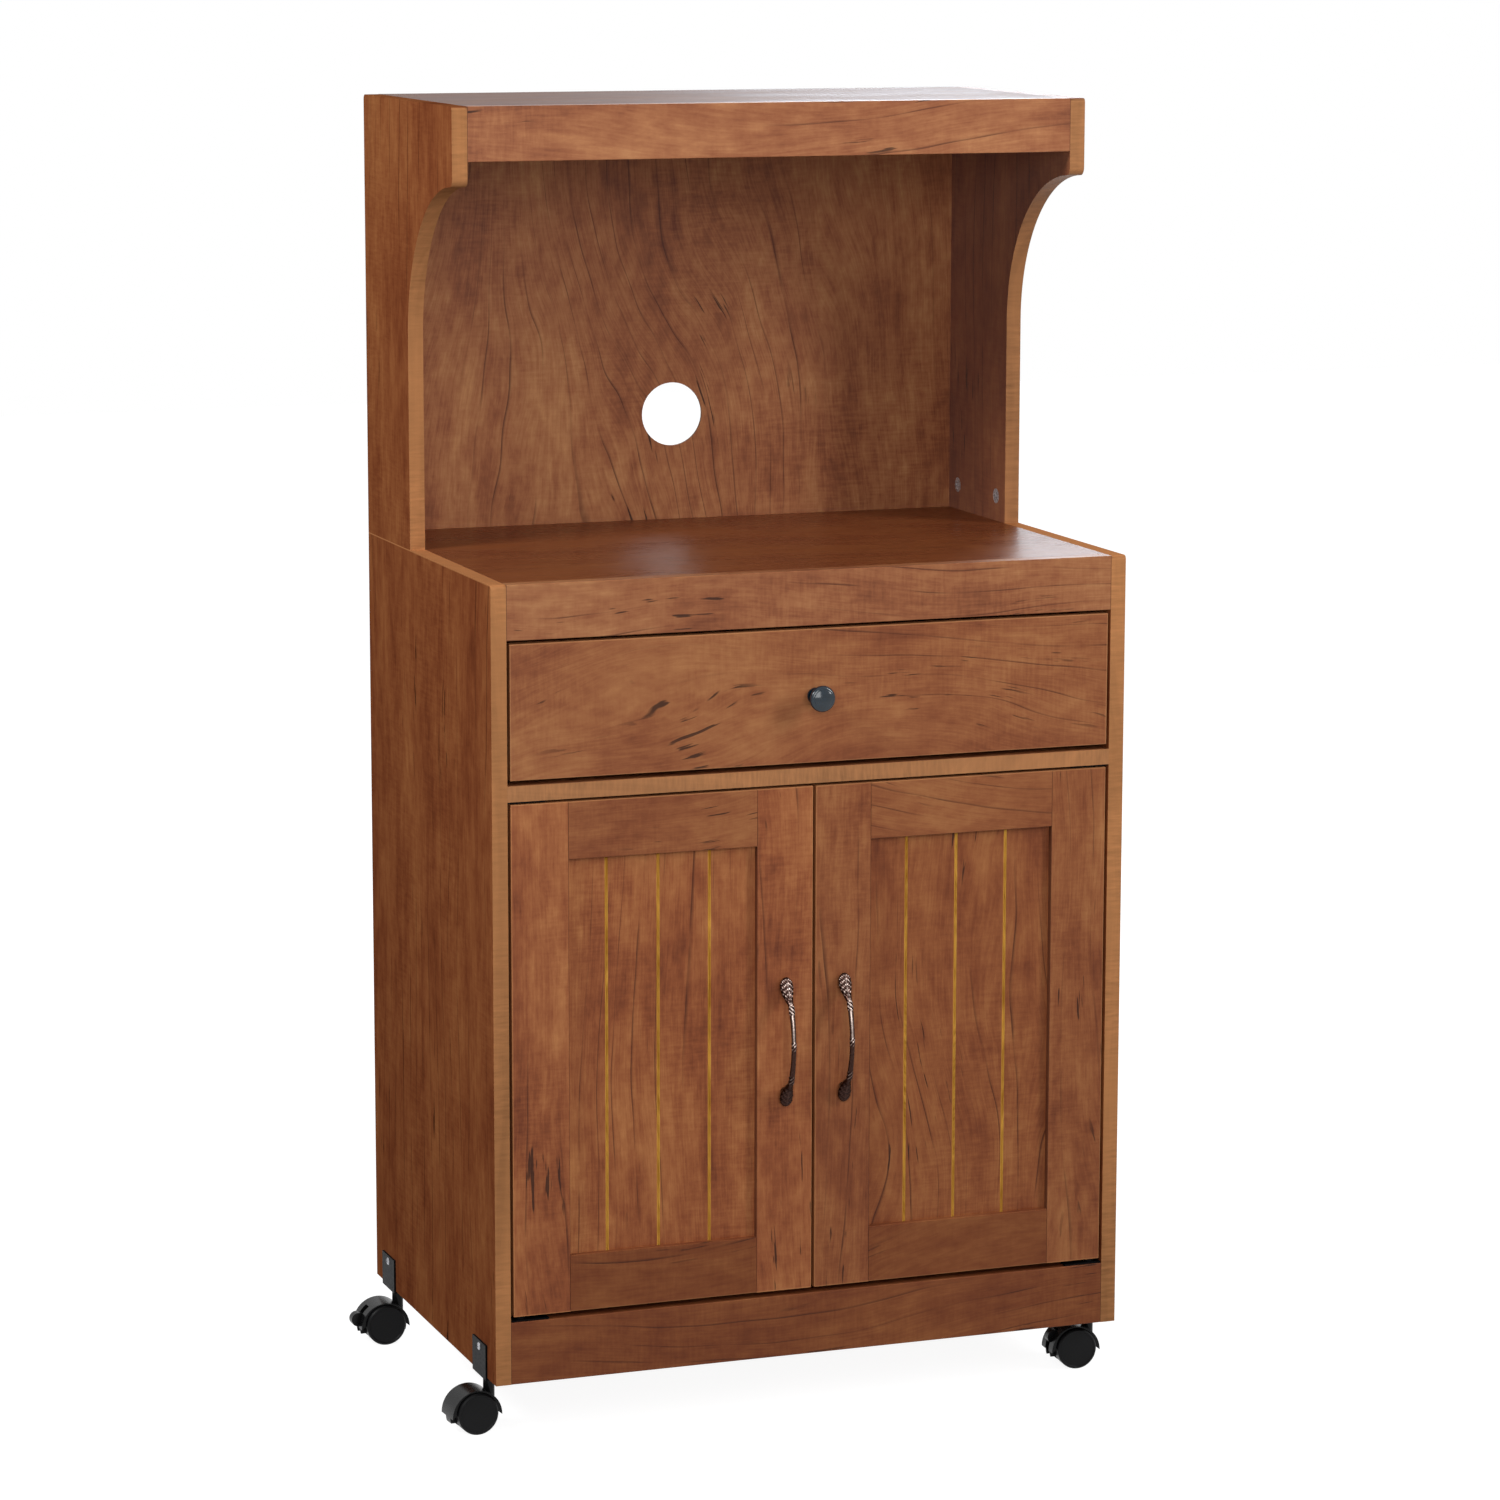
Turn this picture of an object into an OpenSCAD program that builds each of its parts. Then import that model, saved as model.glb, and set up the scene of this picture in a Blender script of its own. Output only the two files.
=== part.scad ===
// Microwave cart: a base cabinet with a drawer over two doors, an open hutch above it, and four
// swivel casters. Millimetres, +Z up, the front faces -Y. Modules draw in the cabinet's own frame:
// x from the left side panel's outer face, y from the front edges, z from the floor. place() then
// moves everything, so that the origin is on the floor under the centre of the cart's bounding box.

/* [Cabinet] */
// Width over the two side panels
cart_w = 635; // [600:1:720]
// Depth of the side panels, without the back
side_d = 406; // [390:1:460]
// Height of the worktop above the floor
worktop_z = 813; // [790:1:900]
// Height of the hutch above the worktop
hutch_h = 429; // [400:1:500]
// Thickness of the boards
board_t = 15; // [14:0.5:18]
// Thickness of the hardboard backs
back_t = 3; // [2.5:0.5:5]
// Distance that the backs stay inside the outline
back_margin = 2; // [0:0.5:4]
// Gap between the two backs, behind the worktop's rear edge
back_seam = 0.5; // [0.3:0.1:2]
// Radius of the upper front corners of the side panels
corner_r = 4; // [1:0.5:8]
// Radius of the long edges of the doors, rails and drawer front
edge_r = 0.7; // [0.5:0.1:1.2]

/* [Front rails and openings] */
// Height of the rail that covers the worktop's front edge
front_rail_h = 52; // [40:1:65]
// Height of the drawer opening
drawer_open_h = 135; // [125:1:160]
// Height of the toe rail under the doors
toe_rail_h = 60; // [50:1:80]

/* [Hutch] */
// Distance from the base's front to the hutch's upper front edge
hutch_setback = 110; // [90:1:140]
// Distance from the base's front to the foot of the hutch
foot_setback = 260; // [230:1:290]
// Height of the straight lip at the top of the hutch sides
lip_h = 74; // [60:1:90]
// Radius of the lip's lower corner
lip_r = 8; // [3:0.5:12]
// Radius of the hutch's top rear corner
rear_corner_r = 5; // [1:0.5:10]
// Height of the rail along the hutch top
hutch_rail_h = 51; // [40:1:65]
// Diameter of the cord hole in the hutch back
cord_hole_d = 63.5; // [50:0.5:80]
// Height of the cord hole's centre above the worktop
cord_hole_rise = 106; // [80:1:150]

/* [Shelf] */
// Height of the shelf's underside above the cabinet floor
shelf_rise = 235; // [150:1:330]
// Distance from the front to the shelf's front edge
shelf_setback = 32; // [25:1:60]
// Gap at each end and behind the shelf
shelf_gap = 1; // [0.5:0.5:3]
// Diameter of a shelf pin
pin_d = 5; // [4:0.5:7]
// Length of a shelf pin inside the side panel
pin_bite = 8; // [6:0.5:10]
// Length of a shelf pin under the shelf
pin_reach = 9; // [6:0.5:14]
// Distance from the pins to the front and rear of the shelf
pin_inset = 45; // [30:1:80]
// Spacing of the spare pin holes
pin_pitch = 32; // [25:1:50]

/* [Doors] */
// Thickness of the door frames
door_t = 15; // [14:0.5:18]
// Gap between a door and the side panel
door_side_gap = 3; // [2.9:0.1:4]
// Gap between the two doors
door_mid_gap = 3; // [2:0.1:4]
// Gap above the doors
door_top_gap = 2.7; // [2.2:0.1:4]
// Gap under the doors
door_foot_gap = 5.5; // [4:0.1:7]
// Width of a door stile
stile_w = 56; // [45:1:70]
// Height of a door's top and bottom rails
door_rail_h = 54.5; // [40:0.5:70]
// Thickness of a door panel
door_panel_t = 6; // [4:0.5:7]
// Distance of a door panel's face behind the frame's face
panel_setback = 6; // [4:0.5:7]
// Depth of the slots in the frame that hold the door panel
panel_lap = 8; // [5:1:12]
// Spacing of the grooves in a door panel
groove_pitch = 51; // [35:1:60]
// Distance of the middle groove from the middle of the panel, to the right
groove_shift = -3.5; // [-8:0.5:8]
// Width of a groove
groove_w = 3.5; // [2:0.5:5]
// Depth of a groove
groove_depth = 1.8; // [0.8:0.1:2]
// Number of grooves
groove_count = 3; // [1:2:3]

/* [Door pivots] */
// Distance from a door's outer edge to its pivot
pivot_inset = 8; // [7:0.5:9]
// Diameter of a pivot pin
pivot_d = 5; // [4:0.5:6]
// Length of a pivot pin inside the door
pivot_bite = 11; // [8:0.5:15]
// Thickness of a pivot plate
pivot_plate_t = 1.5; // [1:0.1:2]
// Length of a pivot plate
pivot_plate_l = 38; // [25:1:60]
// Width of a pivot plate
pivot_plate_w = 12; // [10:0.5:14]
// Diameter of the collar that carries the door
collar_d = 9; // [8:0.5:11]
// Running clearance of a pin in its bore, on the radius
pin_clear = 0.05; // [0.03:0.01:0.08]
// Free height over a collar or a boss
seat_gap = 0.15; // [0.1:0.05:0.3]

/* [Door pulls] */
// Distance between a pull's screws
pull_centres = 96; // [76:1:128]
// Length of a bud beyond its screw
bud_tip = 14.7; // [10:0.1:20]
// Length of a bud towards the middle
bud_neck = 10; // [6:0.5:16]
// Width of a bud
bud_w = 13; // [9:0.5:16]
// Thickness of the pull's bar
pull_bar_d = 5.4; // [4.5:0.1:8]
// Distance from the door to the outside of the bar
pull_reach = 28; // [24:0.5:36]
// Rise of the bar's bow over its two necks
pull_bow = 8.4; // [5:0.1:11]
// Length of a twisted band
band_l = 10; // [4:0.5:12]
// Height of a twisted band over the bar
band_rise = 0.4; // [0.3:0.1:1]

/* [Drawer] */
// Thickness of the drawer front
drawer_front_t = 15; // [14:0.5:18]
// Gap at each end of the drawer front
drawer_side_gap = 3; // [2:0.1:4]
// Gap above the drawer front
drawer_top_gap = 3.3; // [2:0.1:5]
// Gap under the drawer front
drawer_foot_gap = 4.7; // [2:0.1:6]
// Thickness of the drawer box sides and back
box_t = 12; // [10:0.5:14]
// Height of the drawer box
box_h = 86; // [70:1:95]
// Length of the drawer box
box_l = 340; // [336:1:360]
// Height of the drawer box above the divider
box_rise = 14; // [8:1:20]
// Thickness of the drawer bottom
box_bottom_t = 3; // [2.5:0.5:4]
// Height of the drawer bottom above the lower edge of the box
box_bottom_rise = 8; // [5:0.5:15]
// Depth of the grooves that hold the drawer bottom
box_groove = 5; // [3:0.5:7]
// Travel of the drawer
drawer_travel = 260; // [200:5:265]

/* [Drawer slides] */
// Gap between the drawer box and the side panel
slide_gap = 12.7; // [12.7:0.1:13.5]
// Length of a slide, short of the drawer box
slide_short = 10; // [8:1:20]
// Thickness of the slides' steel
slide_t = 1.2; // [1:0.1:1.4]
// Height of the channel on the side panel
channel_h = 32; // [31:0.5:36]
// Diameter of a slide roller
roller_d = 18; // [16:0.5:18.5]
// Width of a slide roller
roller_w = 6; // [4:0.5:6.5]
// Diameter of a roller's stub
stub_d = 4; // [3:0.5:5]
// Gap between a roller and its track
roller_gap = 0.1; // [0.05:0.05:0.2]
// Distance from a roller's axle to the end of its slide
roller_inset = 20; // [15:1:25]

/* [Knob] */
// Diameter of the knob's head
knob_d = 25; // [20:0.5:32]
// Distance that the knob stands out
knob_l = 25; // [20:0.5:27]
// Diameter of the knob's neck
knob_neck_d = 10; // [8:0.5:14]
// Diameter of the knob's foot
knob_foot_d = 16; // [12:0.5:20]
// Radius of the domed head
knob_dome_r = 24; // [15:0.5:40]
// Diameter of a handle screw
handle_screw_d = 4; // [3:0.5:4.5]
// Depth of a handle screw in its handle
handle_screw_bite = 4; // [3:0.5:5]

/* [Casters] */
// Height of the side panels above the floor
caster_h = 55; // [53:0.5:70]
// Distance from a stem to the side panel's front or rear edge
stem_inset = 48; // [35:1:70]
// Diameter of a stem
stem_d = 8; // [6:0.5:9]
// Length of a stem inside the side panel
stem_bite = 20; // [14:1:21]
// Distance from a stem to the wheels' axle
caster_offset = 17.2; // [15:0.1:18]
// Diameter of a wheel
wheel_d = 40; // [38:0.5:40.5]
// Width over a pair of wheels
wheels_w = 38; // [34:0.5:42]
// Width of the hood's body between the wheels
hood_core_w = 12; // [11.5:0.5:14]
// Gap between a wheel and the hood's body
wheel_gap = 0.4; // [0.3:0.1:0.8]
// Diameter of an axle
axle_d = 5; // [4:0.5:6]
// Width of the fender over the wheels
fender_w = 30; // [24:0.5:34]
// Radius of the fender's outside
fender_r = 25; // [24.5:0.1:25.2]
// Gap between the wheels and the inside of the fender
fender_gap = 0.8; // [0.6:0.1:1]
// Distance of the fender's centre under the axle
fender_drop = 3; // [2.8:0.1:3]
// Height of the fender's tips above the floor
fender_end_z = 16.5; // [15:0.5:18]
// Diameter of the hood's neck round the stem
neck_d = 11; // [10:0.5:12]
// Gap between a hood's neck and its bracket
neck_gap = 0.3; // [0.2:0.1:0.5]
// Angle that the front left caster is turned by
front_left_turn = 4; // [-180:1:180]
// Angle that the front right caster is turned by
front_right_turn = -3.5; // [-180:0.5:180]
// Angle that the rear left caster is turned by
rear_left_turn = 1; // [-180:1:180]
// Angle that the rear right caster is turned by
rear_right_turn = 6; // [-180:1:180]

/* [Caster brackets] */
// Thickness of a bracket
bracket_t = 2; // [1.5:0.1:3]
// Width of a bracket
bracket_w = 42; // [30:1:50]
// Height of a bracket above the side panel's lower edge
bracket_h = 32; // [31:1:45]
// Height of a bracket's screw above the side panel's lower edge
bracket_screw_rise = 26; // [25:0.5:27]
// Diameter of a bracket's screw
bracket_screw_d = 4; // [3:0.5:5]
// Length of a bracket's screw inside the side panel
bracket_screw_bite = 11; // [8:0.5:12]

/* [Caster locks] */
// Width of a lock lever
lever_w = 9; // [7:0.5:9]
// Distance from the stem to a lever's pivot
lever_pivot_x = 29.5; // [29:0.1:30]
// Height of a lever's pivot above the floor
lever_pivot_z = 15; // [14.5:0.1:15.5]
// Distance from the stem to the outside of a lever's hook
lever_reach = 49.5; // [49:0.1:51]
// Height of the hook's centre above the floor when locked
hook_z = 25; // [24:0.1:25.5]
// Radius of the hook
hook_r = 7; // [6:0.1:7.2]
// Diameter of a lever's pin
lever_pin_d = 3; // [2.5:0.5:3.5]
// Angle between the locked and the released lever
lever_swing = 28; // [15:1:28]

/* [Fixings] */
// Diameter of a cam lock
cam_d = 15; // [12:0.5:16]
// Depth of a cam lock
cam_depth = 12.5; // [10:0.5:13]
// Distance from a cam lock's centre to the joint
cam_edge = 25; // [20:1:34]
// Distance from a board's front or rear edge to its cam locks
cam_inset = 60; // [40:1:80]
// Distance from the hutch foot's edges to its cam locks
foot_cam_inset = 23; // [15:1:30]
// Diameter of a cam bolt
bolt_d = 7; // [5:0.5:8]
// Length of a cam bolt inside the panel that it is screwed to
bolt_bite = 10; // [8:0.5:12]
// Gap between a cam bolt's end and its cam lock
bolt_gap = 0.6; // [0.4:0.1:2]
// Diameter of a dowel
dowel_d = 8; // [6:0.5:9]
// Length of a dowel inside the side panel
dowel_bite = 10; // [8:0.5:12]
// Length of a dowel inside the rail
dowel_reach = 20; // [15:1:30]
// Height of a screw's head
screw_head_h = 1.8; // [1.5:0.1:3]
// Diameter of a screw's head
screw_head_d = 7.6; // [6:0.1:9]

/* [Hidden] */
$fn = 64;
past = 1; // how far a cutter runs past a face

inner_w = cart_w - 2 * board_t;
mid_x = cart_w / 2;
top_z = worktop_z + hutch_h;
front_rail_z = worktop_z - front_rail_h;
divider_top = front_rail_z - drawer_open_h;
divider_z = divider_top - board_t;
floor_top = caster_h + toe_rail_h;
lip_z = top_z - lip_h;
curve_r = foot_setback - hutch_setback;

// underside and front edge of each board that spans the side panels
BASE_BOARDS = [
    [worktop_z - board_t, board_t],
    [divider_z, 0],
    [floor_top - board_t, board_t],
];
HUTCH_BOARD = [top_z - board_t, hutch_setback + board_t];
// underside, height and front face of each rail
FRONT_RAIL = [front_rail_z, front_rail_h, 0];
TOE_RAIL = [caster_h, toe_rail_h, 0];
HUTCH_RAIL = [top_z - hutch_rail_h, hutch_rail_h, hutch_setback];
DOWEL_SHARES = [0.25, 0.75]; // where the dowels sit in a rail's height

bolt_l = bolt_bite + cam_edge - cam_d / 2 - bolt_gap;

shelf_z = floor_top + shelf_rise;
shelf_rear = side_d - shelf_gap;
PIN_Y = [shelf_setback + pin_inset, shelf_rear - pin_inset];

door_x = board_t + door_side_gap;
door_w = mid_x - door_mid_gap / 2 - door_x;
door_z = floor_top + door_foot_gap;
door_h = divider_z - door_top_gap - door_z;
recess_w = door_w - 2 * stile_w;
recess_h = door_h - 2 * door_rail_h;
recess_mid = door_x + door_w / 2;
panel_w = recess_w + 2 * panel_lap;
panel_h = recess_h + 2 * panel_lap;
panel_z = door_z + door_rail_h - panel_lap;
pivot_x = door_x + pivot_inset;
pivot_y = door_t / 2;

pull_x = door_x + door_w - stile_w / 2;
pull_z = door_z + door_h / 2;
bar_y = pull_reach - pull_bar_d / 2; // axis of the bar at the middle of the pull
neck_z = pull_centres / 2 - bud_neck; // where the bar meets a bud
neck_y = bar_y - pull_bow;
bow_r = (neck_z * neck_z + pull_bow * pull_bow) / (2 * pull_bow);
bow_angle = asin(neck_z / bow_r);
bud_r = 3.6; // half of a bud's thickness
// distance along a bud from its screw, and its width there as a share of the full width
BUD_SHAPE = [[9.5, 0.78], [5, 1], [-1.5, 0.86]];

front_w = inner_w - 2 * drawer_side_gap;
front_z = divider_top + drawer_foot_gap;
front_h = front_rail_z - drawer_top_gap - front_z;
box_x = board_t + slide_gap;
box_w = cart_w - 2 * box_x;
box_z = divider_top + box_rise;
box_rear = drawer_front_t + box_l;
bottom_z = box_z + box_bottom_rise;
knob_z = front_z + front_h / 2;
knob_rim_r = 3.5;
knob_foot_t = 2.5;

slide_l = box_l - slide_short;
slide_y = drawer_front_t + 3; // front end of the channels
roller_x = board_t + 2 * slide_t + 0.1;
front_roller_y = slide_y + roller_inset;
flange_y = front_roller_y + roller_d / 2 + 13; // the channel's flanges start behind the roller
rear_roller_y = drawer_front_t + slide_l - roller_inset + 5;
rear_roller_z = box_z + slide_t + roller_gap + roller_d / 2;
ride_z = rear_roller_z + roller_d / 2 + 1.7; // underside of the flange that rides on the rollers
front_roller_z = ride_z - roller_gap - roller_d / 2;
ride_w = 9;

stem_x = board_t / 2;
STEM_Y = [stem_inset, side_d - stem_inset];
wheel_r = wheel_d / 2;
wheel_w = wheels_w / 2 - hood_core_w / 2 - wheel_gap;
wheel_skin = 2.6; // closed face outside the axle's blind bore
axle_l = wheels_w - 2 * wheel_skin - 0.4;
fender_mid = [-caster_offset, wheel_r - fender_drop];
hood_top_z = caster_h - bracket_t - neck_gap;
stem_foot_z = wheel_r + 6;
core_inset = 0.8; // of the hood's body inside the fender's outline
core_end_z = lever_pivot_z - 4.5;
neck_foot_z = core_end_z + 1.6;
tip_slant = 5; // a fender tip's inner edge ends this much above its outer one
lever_hub_r = 3.4;
lever_arm_t = 6;
lever_side_gap = 0.25;
recess_depth = 1; // of a cross recess in a screw head or a cam lock
recess_slot = 1.1;
hook_x = lever_reach - hook_r;
lever_knee = [4, 12]; // where the lever bends, outwards and up from its pivot
// the lever's slot: distance behind the stem and height of its corners
LEVER_SLOT = [[23.8, -past], [23.8, 31.5], [32.5, 38.2], [60, 38.2], [60, -past]];
hook_cut_r = 4.2;
hook_cut = [4.2, -4.6]; // centre of the hook's mouth, from the hook's centre

// the cart's reach past the side panels, and from it the place of the origin
reach_left = lever_reach - stem_x;
reach_right = bracket_t + screw_head_h;
origin_x = (cart_w + reach_right - reach_left) / 2;
origin_y = (side_d + back_t - pull_reach - band_rise) / 2;

wood = [0.55, 0.33, 0.21];
wood_dark = [0.42, 0.24, 0.16];
wood_light = [0.62, 0.40, 0.26];
raw_board = [0.72, 0.60, 0.44];
steel = [0.75, 0.75, 0.77];
bronze = [0.30, 0.26, 0.24];
black_plastic = [0.09, 0.09, 0.10];
white_plastic = [0.90, 0.90, 0.88];
black_steel = [0.12, 0.12, 0.13];

// ---- helpers ----

module place() {
    translate([-origin_x, -origin_y, 0]) children();
}

module mirrored() {
    translate([cart_w, 0, 0]) mirror([1, 0, 0]) children();
}

module both_sides() {
    children();
    mirrored() children();
}

// extrudes an outline drawn in y and z along x
module along_x(length) {
    rotate([90, 0, 90]) linear_extrude(length) children();
}

// a cylinder along x from the given place
module rod_x(d, length) {
    rotate([0, 90, 0]) cylinder(d = d, h = length);
}

// a cylinder along y from the given place
module rod_y(d, length) {
    rotate([-90, 0, 0]) cylinder(d = d, h = length);
}

// cutter that rounds a convex corner; out points away from the material
module round_off(corner, out, r) {
    translate(corner - out * r) difference() {
        translate([out[0] > 0 ? 0 : -(r + past), out[1] > 0 ? 0 : -(r + past)]) square(r + past);
        circle(r);
    }
}

module soft_square(size, r) {
    translate([r, 0]) square([size[0] - 2 * r, size[1]]);
    translate([0, r]) square([size[0], size[1] - 2 * r]);
    for (x = [r, size[0] - r])
        for (y = [r, size[1] - r])
            translate([x, y]) circle(r, $fn = 24);
}

// ---- fixings, drawn for the left side ----

// children at each fixing of a cross board, on the side panel's outer face
module at_board_fixings(spot) {
    for (y = [spot[1] + cam_inset, side_d - cam_inset])
        translate([0, y, spot[0]]) children();
}

module board_cam() {
    translate([board_t + cam_edge, 0, 0]) cylinder(d = cam_d, h = cam_depth);
}

module board_bolt() {
    translate([board_t - bolt_bite, 0, board_t / 2]) rod_x(bolt_d, bolt_l);
}

module at_foot_fixings() {
    for (y = [foot_setback + foot_cam_inset, side_d - foot_cam_inset])
        translate([0, y, worktop_z]) children();
}

module foot_cam() {
    translate([board_t - cam_depth, 0, cam_edge]) rod_x(cam_d, cam_depth);
}

module foot_bolt() {
    translate([board_t / 2, 0, -bolt_bite]) cylinder(d = bolt_d, h = bolt_l);
}

module rail_dowels(spot) {
    for (share = DOWEL_SHARES)
        translate([board_t - dowel_bite, spot[2] + board_t / 2, spot[0] + share * spot[1]])
            rod_x(dowel_d, dowel_bite + dowel_reach);
}

module shelf_pin(length) {
    translate([board_t - pin_bite, 0, -pin_d / 2]) rod_x(pin_d, length);
}

module bracket_screw_shank() {
    translate([-bracket_t, 0, caster_h + bracket_screw_rise])
        rod_x(bracket_screw_d, bracket_t + bracket_screw_bite);
}

module stem(foot_z, top) {
    translate([stem_x, 0, foot_z]) cylinder(d = stem_d, h = top - foot_z);
}

// ---- base cabinet ----

module base_side() {
    difference() {
        along_x(board_t) difference() {
            translate([0, caster_h]) square([side_d, worktop_z - caster_h]);
            round_off([0, worktop_z], [-1, 1], corner_r);
        }
        for (spot = BASE_BOARDS)
            at_board_fixings(spot) board_bolt();
        at_foot_fixings() foot_bolt();
        rail_dowels(FRONT_RAIL);
        rail_dowels(TOE_RAIL);
        for (y = PIN_Y)
            for (step = [-1, 0, 1])
                translate([0, y, shelf_z + step * pin_pitch]) shelf_pin(pin_bite + past);
        for (y = STEM_Y)
            translate([0, y, 0]) {
                stem(caster_h - past, caster_h + stem_bite);
                bracket_screw_shank();
            }
    }
}

module base_left_side() {
    color(wood) base_side();
}

module base_right_side() {
    color(wood) mirrored() base_side();
}

// a board between the side panels; spot is its underside and its front edge
module cross_board(spot) {
    difference() {
        translate([board_t, spot[1], spot[0]]) cube([inner_w, side_d - spot[1], board_t]);
        both_sides() at_board_fixings(spot) {
            board_cam();
            board_bolt();
        }
    }
}

module worktop() {
    color(wood) cross_board(BASE_BOARDS[0]);
}

module divider_shelf() {
    color(wood_light) cross_board(BASE_BOARDS[1]);
}

module cabinet_floor() {
    color(wood) cross_board(BASE_BOARDS[2]);
}

// a rail between the side panels; spot is its underside, height and front face
module cross_rail(spot) {
    difference() {
        translate([board_t, spot[2], spot[0]])
            along_x(inner_w) soft_square([board_t, spot[1]], edge_r);
        both_sides() rail_dowels(spot);
    }
}

module front_rail() {
    color(wood) cross_rail(FRONT_RAIL);
}

module toe_rail() {
    color(wood) cross_rail(TOE_RAIL);
}

module back_sheet(bottom, top) {
    translate([back_margin, side_d, bottom]) cube([cart_w - 2 * back_margin, back_t, top - bottom]);
}

module base_back() {
    color(wood_dark) back_sheet(floor_top - board_t, worktop_z - board_t / 2);
}

module adjustable_shelf() {
    color(wood)
        translate([board_t + shelf_gap, shelf_setback, shelf_z])
            cube([inner_w - 2 * shelf_gap, shelf_rear - shelf_setback, board_t]);
}

module shelf_pins() {
    color(steel)
        both_sides()
            for (y = PIN_Y)
                translate([0, y, shelf_z]) shelf_pin(pin_bite + pin_reach);
}

// ---- hutch ----

module hutch_outline() {
    corner_up = sqrt(pow(curve_r + lip_r, 2) - pow(lip_r, 2));
    difference() {
        translate([hutch_setback, worktop_z]) square([side_d - hutch_setback, hutch_h]);
        translate([hutch_setback - past, worktop_z - past])
            square([curve_r + past, lip_z - curve_r - worktop_z + past]);
        translate([hutch_setback, lip_z - curve_r]) circle(curve_r, $fn = 180);
        translate([hutch_setback + lip_r, lip_z - curve_r + corner_up]) difference() {
            translate([-lip_r - past, -lip_r - past])
                square([past + lip_r * curve_r / (curve_r + lip_r), lip_r + past]);
            circle(lip_r);
        }
        round_off([hutch_setback, top_z], [-1, 1], corner_r);
        round_off([side_d, top_z], [1, 1], rear_corner_r);
    }
}

module hutch_side() {
    difference() {
        along_x(board_t) hutch_outline();
        at_board_fixings(HUTCH_BOARD) board_bolt();
        at_foot_fixings() {
            foot_cam();
            foot_bolt();
        }
        rail_dowels(HUTCH_RAIL);
    }
}

module hutch_left_side() {
    color(wood) hutch_side();
}

module hutch_right_side() {
    color(wood) mirrored() hutch_side();
}

module hutch_top() {
    color(wood) cross_board(HUTCH_BOARD);
}

module hutch_rail() {
    color(wood) cross_rail(HUTCH_RAIL);
}

module hutch_back() {
    color(wood_light) difference() {
        back_sheet(worktop_z - board_t / 2 + back_seam, top_z - back_margin);
        translate([mid_x, side_d - past, worktop_z + cord_hole_rise])
            rod_y(cord_hole_d, back_t + 2 * past);
    }
}

// ---- fixings as pieces ----

module cam_locks() {
    color(steel) both_sides() {
        for (spot = concat(BASE_BOARDS, [HUTCH_BOARD]))
            at_board_fixings(spot) board_cam();
        at_foot_fixings() difference() {
            foot_cam();
            translate([board_t, 0, cam_edge]) cross_recess(cam_d * 0.6, recess_slot);
        }
    }
}

module cam_bolts() {
    color(steel) both_sides() {
        for (spot = concat(BASE_BOARDS, [HUTCH_BOARD]))
            at_board_fixings(spot) board_bolt();
        at_foot_fixings() foot_bolt();
    }
}

module dowels() {
    color(raw_board) both_sides()
        for (spot = [FRONT_RAIL, TOE_RAIL, HUTCH_RAIL])
            rail_dowels(spot);
}

// ---- doors, drawn as the left one ----

module pivot_plate() {
    translate([board_t + seat_gap, pivot_y - pivot_plate_w / 2, 0])
        cube([pivot_plate_l, pivot_plate_w, pivot_plate_t]);
}

module pivot_plates() {
    translate([0, 0, floor_top]) {
        pivot_plate();
        translate([pivot_x, pivot_y, 0]) {
            cylinder(d = collar_d, h = door_foot_gap - seat_gap);
            cylinder(d = pivot_d, h = door_foot_gap + pivot_bite);
        }
    }
    translate([0, 0, divider_z - pivot_plate_t]) pivot_plate();
    translate([pivot_x, pivot_y, divider_z - door_top_gap - pivot_bite])
        cylinder(d = pivot_d, h = door_top_gap + pivot_bite);
}

module door_pivot_plates() {
    color(steel) both_sides() pivot_plates();
}

module pivot_bores() {
    depth = pivot_bite + 2 * seat_gap;
    translate([pivot_x, pivot_y, door_z - past])
        cylinder(d = pivot_d + 2 * pin_clear, h = depth + past);
    translate([pivot_x, pivot_y, door_z + door_h - depth])
        cylinder(d = pivot_d + 2 * pin_clear, h = depth + past);
}

module at_pull_screws() {
    for (end = [-1, 1])
        translate([pull_x, 0, pull_z + end * pull_centres / 2]) children();
}

module stiles() {
    difference() {
        for (x = [door_x, door_x + door_w - stile_w])
            translate([x, 0, door_z]) linear_extrude(door_h) soft_square([stile_w, door_t], edge_r);
        panel_block();
        pivot_bores();
        at_pull_screws() translate([0, -past, 0]) rod_y(handle_screw_d, door_t + 2 * past);
    }
}

module rails() {
    difference() {
        for (z = [door_z, door_z + door_h - door_rail_h])
            translate([door_x + stile_w, 0, z])
                along_x(recess_w) soft_square([door_t, door_rail_h], edge_r);
        panel_block();
    }
}

// the panel as a plain board, which also cuts its slots in the frame
module panel_block() {
    translate([recess_mid - panel_w / 2, panel_setback, panel_z])
        cube([panel_w, door_panel_t, panel_h]);
}

module door_panel(shift) {
    difference() {
        panel_block();
        for (i = [0 : groove_count - 1])
            translate([
                recess_mid + shift + (i - (groove_count - 1) / 2) * groove_pitch,
                panel_setback,
                panel_z - past,
            ])
                linear_extrude(panel_h + 2 * past)
                    polygon([
                        [-groove_w / 2 - past * groove_w / (2 * groove_depth), -past],
                        [groove_w / 2 + past * groove_w / (2 * groove_depth), -past],
                        [0, groove_depth],
                    ]);
    }
}

// a machine screw from behind a face at the given depth, along -y
module handle_screw(depth) {
    translate([0, depth, 0]) rod_y(screw_head_d, screw_head_h);
    translate([0, -handle_screw_bite, 0]) rod_y(handle_screw_d, handle_screw_bite + depth);
}

module pull_screws() {
    at_pull_screws() handle_screw(door_t);
}

// a stretch of the pull's bow, between two angles from its middle
module bow(d, from, to) {
    translate([0, bow_r - bar_y, 0])
        rotate([90, 0, -90]) rotate(from) rotate_extrude(angle = to - from)
            translate([bow_r, 0]) circle(d = d, $fn = 24);
}

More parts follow.
